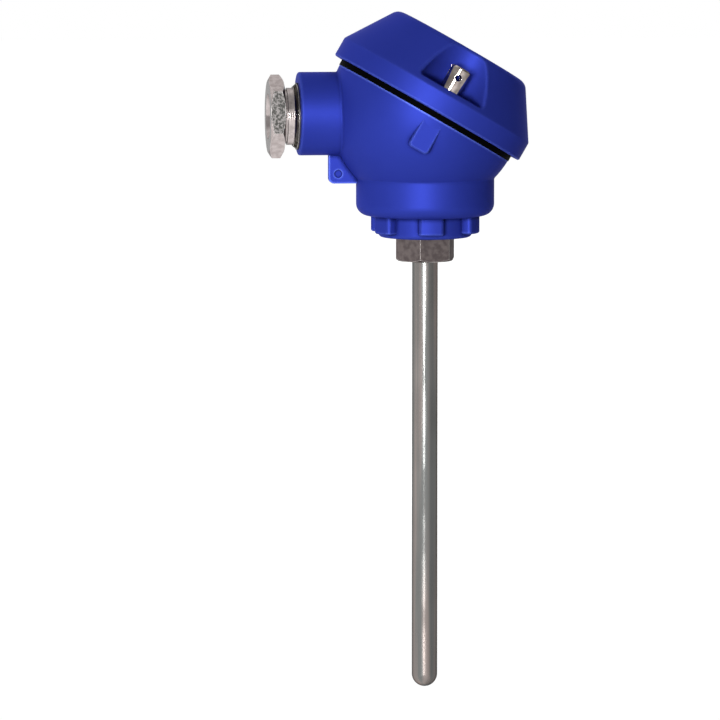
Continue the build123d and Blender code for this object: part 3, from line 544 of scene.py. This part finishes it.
def addMouthRing(look):  # turned ring in the mouth of the cable entry
    profile = [(radius * mm, x * mm) for radius, x in look["profile"]]
    wide, at = profile[0]
    bare()
    bpy.ops.mesh.primitive_circle_add(vertices=look["sides"], radius=wide, location=(at, 0, entryHeight),
                                      rotation=(0, pi / 2, 0))
    bpy.ops.object.transform_apply(location=True, rotation=True, scale=True)
    bpy.ops.object.mode_set(mode="EDIT")
    bpy.ops.mesh.select_all(action="SELECT")
    for radius, x in profile[1:] + profile[:1]:
        bpy.ops.mesh.extrude_edges_move(TRANSFORM_OT_translate={"value": (x - at, 0, 0)})
        bpy.ops.transform.resize(value=(1, radius / wide, radius / wide), center_override=(x, 0, entryHeight))
        wide, at = radius, x
    bpy.ops.mesh.select_all(action="SELECT")
    bpy.ops.mesh.remove_doubles(threshold=look["weld"] * mm)
    bpy.ops.mesh.normals_make_consistent(inside=False)
    bpy.ops.object.mode_set(mode="OBJECT")
    bpy.ops.object.shade_smooth_by_angle(angle=radians(look["smoothBelow"]))
    settled("mouth_ring", metal("mouth_ring", look["finish"]), "head")


screwThread = {
    "pitch": 0.8,  # mm, as the other sizes
    "turns": 5,
    "steps": 32,
    "middle": 1.98,  # radius of the profile's middle
    "height": 0.42,
    "tip": -4.9,  # first turn, from the seam's middle
    "finish": nickel,
}


def addScrewThread(look):  # ridge round the lid screw's core
    bare()
    bpy.ops.mesh.primitive_circle_add(vertices=3, radius=look["height"] * mm,
                                      location=(look["middle"] * mm, 0, 0), rotation=(pi / 2, pi / 2, 0))
    bpy.ops.object.transform_apply(location=True, rotation=True, scale=True)
    piece = bpy.context.object
    turning = piece.modifiers.new("turning", "SCREW")
    turning.screw_offset, turning.iterations = look["pitch"] * mm, look["turns"]
    turning.steps = turning.render_steps = look["steps"]
    bpy.ops.object.modifier_apply(modifier="turning")
    bpy.ops.object.mode_set(mode="EDIT")
    bpy.ops.mesh.select_all(action="SELECT")
    bpy.ops.mesh.fill_holes(sides=3)
    bpy.ops.mesh.normals_make_consistent(inside=False)
    bpy.ops.object.mode_set(mode="OBJECT")
    joint = joints["lid_screw_turn"]
    axis = Vector(joint["axis"]).normalized()
    piece.rotation_euler = axis.to_track_quat("Z", "Y").to_euler()
    piece.location = Vector(joint["pos_m"]) + axis * look["tip"] * mm
    settled("lid_screw_thread", metal("screw_thread", look["finish"]), "lid_screw")


poleMarks = {
    "bar": 0.7,  # mm, width of a mark's bars, as the other sizes
    "reach": 1.3,
    "height": 0.5,
    "sink": 0.15,  # how much of the height is in the block
    "rounding": 0.12,
    "out": 9.5,
    "back": 11.0,
    "top": 28.8,  # of the block's foot
    "finish": darkEnamel,
}


def addPoleMark(name, side, arms, look):  # raised sign on the block's foot
    bar, reach, height = look["bar"] * mm, look["reach"] * mm, look["height"] * mm
    up = look["top"] - look["sink"] + look["height"] / 2
    middle = Vector((side * look["out"], look["back"], up)) * mm
    bare()
    bpy.ops.mesh.primitive_cube_add(size=1, location=middle, scale=(bar, bar, height))
    bpy.ops.object.transform_apply(location=True, rotation=True, scale=True)
    bpy.ops.object.mode_set(mode="EDIT")
    bpy.ops.mesh.select_mode(type="FACE")
    for arm in arms:
        way = Vector(arm)
        end = middle + way * bar / 2
        pick(lambda place, normal: normal.dot(way) > 0.9 and (place - end).length < bar / 4)
        bpy.ops.mesh.extrude_region_move(TRANSFORM_OT_translate={"value": way * reach})
    bpy.ops.mesh.select_all(action="SELECT")
    bpy.ops.mesh.bevel(offset=look["rounding"] * mm, segments=2)
    bpy.ops.object.mode_set(mode="OBJECT")
    settled(name, ceramic(name, look["finish"]), "insert")


addSprings(springs)
addMouthRing(mouthRing)
addScrewThread(screwThread)
across, along = ((1, 0, 0), (-1, 0, 0)), ((0, 1, 0), (0, -1, 0))
addPoleMark("mark_positive", 1, across + along, poleMarks)
addPoleMark("mark_negative", -1, across, poleMarks)
print("added pieces done")

studio = {
    "floorDrop": 25 * mm,
    "floorSize": 12.0,
    "floorColour": (0.22, 0.22, 0.22),
    "floorRoughness": 0.9,
    "floorNear": (0.86, 0.86, 0.86),  # the floor round the probe, without the lamps
    "floorFar": (1.0, 1.0, 1.0),
    "floorFade": (0.35, 1.1),  # metres from the probe
    "ambient": (0.04, 0.04, 0.04),
    "white": (1.0, 1.0, 1.0),  # the backdrop
    "room": (0.38, 0.38, 0.38),  # what metal shows of the side that the lamps stand on
    "roomEdge": (0.0, 0.8),
    "rightShade": 0.5,  # how much darker metal shows the room and the floor towards +X
    "rightEdge": (0.1, 0.9),
    "aim": (0, 0, 40 * mm),
}
lamps = {  # level: what a white card at the probe would show, lights: the matt or the glossy part of a finish
    "key": {
        "azimuth": -24, "elevation": 1, "distance": 2.0, "size": (0.5, 0.4), "level": 0.92, "lights": "matt",
    },
    "right": {
        "azimuth": 145, "elevation": 42, "distance": 2.2, "size": (0.9, 0.9), "level": 0.6, "lights": "matt",
    },
    "left": {
        "azimuth": -145, "elevation": 20, "distance": 2.2, "size": (0.9, 0.9), "level": 0.5, "lights": "matt",
    },
    "shine": {
        "azimuth": -13, "elevation": 5, "distance": 2.0, "size": (0.24, 0.8), "level": 0.95, "lights": "gloss",
    },
    "spark": {
        "azimuth": 6.3, "elevation": 24, "distance": 2.0, "size": (0.15, 0.42), "level": 0.012,
        "lights": "gloss",
    },
}


def darkerRight(tree, right, shade, look):
    return tree.mix(tree.step(right, *look["rightEdge"]) * look["rightShade"], shade, (0, 0, 0))


def addFloor(look):
    bpy.ops.mesh.primitive_plane_add(size=look["floorSize"], location=(0, 0, cadLow.z - look["floorDrop"]))
    floor = bpy.context.object
    floor.name = "floor"
    finish = Finish("floor_white", Base_Color=look["floorColour"], Roughness=look["floorRoughness"],
                    Specular_IOR_Level=0.0, Emission_Strength=1.0)
    x, y, z = finish.axes()
    reach = (x * x + y * y) ** 0.5
    shown = finish.mix(finish.step(reach * mm, *look["floorFade"]), look["floorNear"], look["floorFar"])
    direct, mirrored = finish.seen()
    inMetal = finish.mix(mirrored, (0, 0, 0), darkerRight(finish, x / reach, shown, look))
    finish.set(Emission_Color=finish.mix(direct, inMetal, shown))
    floor.data.materials.append(finish.material)


def addSky(look):
    world = bpy.data.worlds.new("studio")
    bpy.context.scene.world = world
    world.use_nodes = True
    sky = Nodes(world.node_tree)
    direct, mirrored = sky.seen()
    way = sky.add("ShaderNodeTexCoord", output="Generated")
    right = sky.add("ShaderNodeSeparateXYZ", {}, {"Vector": way}, "X")
    back = sky.others(right, "Y")[0]
    room = sky.mix(sky.step(back, *look["roomEdge"]), look["room"], look["white"])
    room = darkerRight(sky, right, room, look)
    shown = sky.mix(direct, sky.mix(mirrored, look["ambient"], room), look["white"])
    sky.feed(world.node_tree.nodes["Background"].inputs["Color"], shown)


def addLamp(name, lamp, aim):
    back = towards(lamp["azimuth"], lamp["elevation"])
    facing = (-back).to_track_quat("-Z", "Y").to_euler()
    bpy.ops.object.light_add(type="AREA", location=Vector(aim) + back * lamp["distance"], rotation=facing)
    light = bpy.context.object
    light.name = name
    light.visible_camera = False
    light.visible_diffuse, light.visible_glossy = lamp["lights"] == "matt", lamp["lights"] == "gloss"
    light.data.shape = "RECTANGLE"
    light.data.size, light.data.size_y = lamp["size"]
    light.data.energy = lamp["level"] * (pi * lamp["distance"]) ** 2


addFloor(studio)
addSky(studio)
for name, lamp in lamps.items():
    addLamp(name, lamp, studio["aim"])
bpy.context.scene.view_settings.view_transform = "Standard"
print("studio lit")
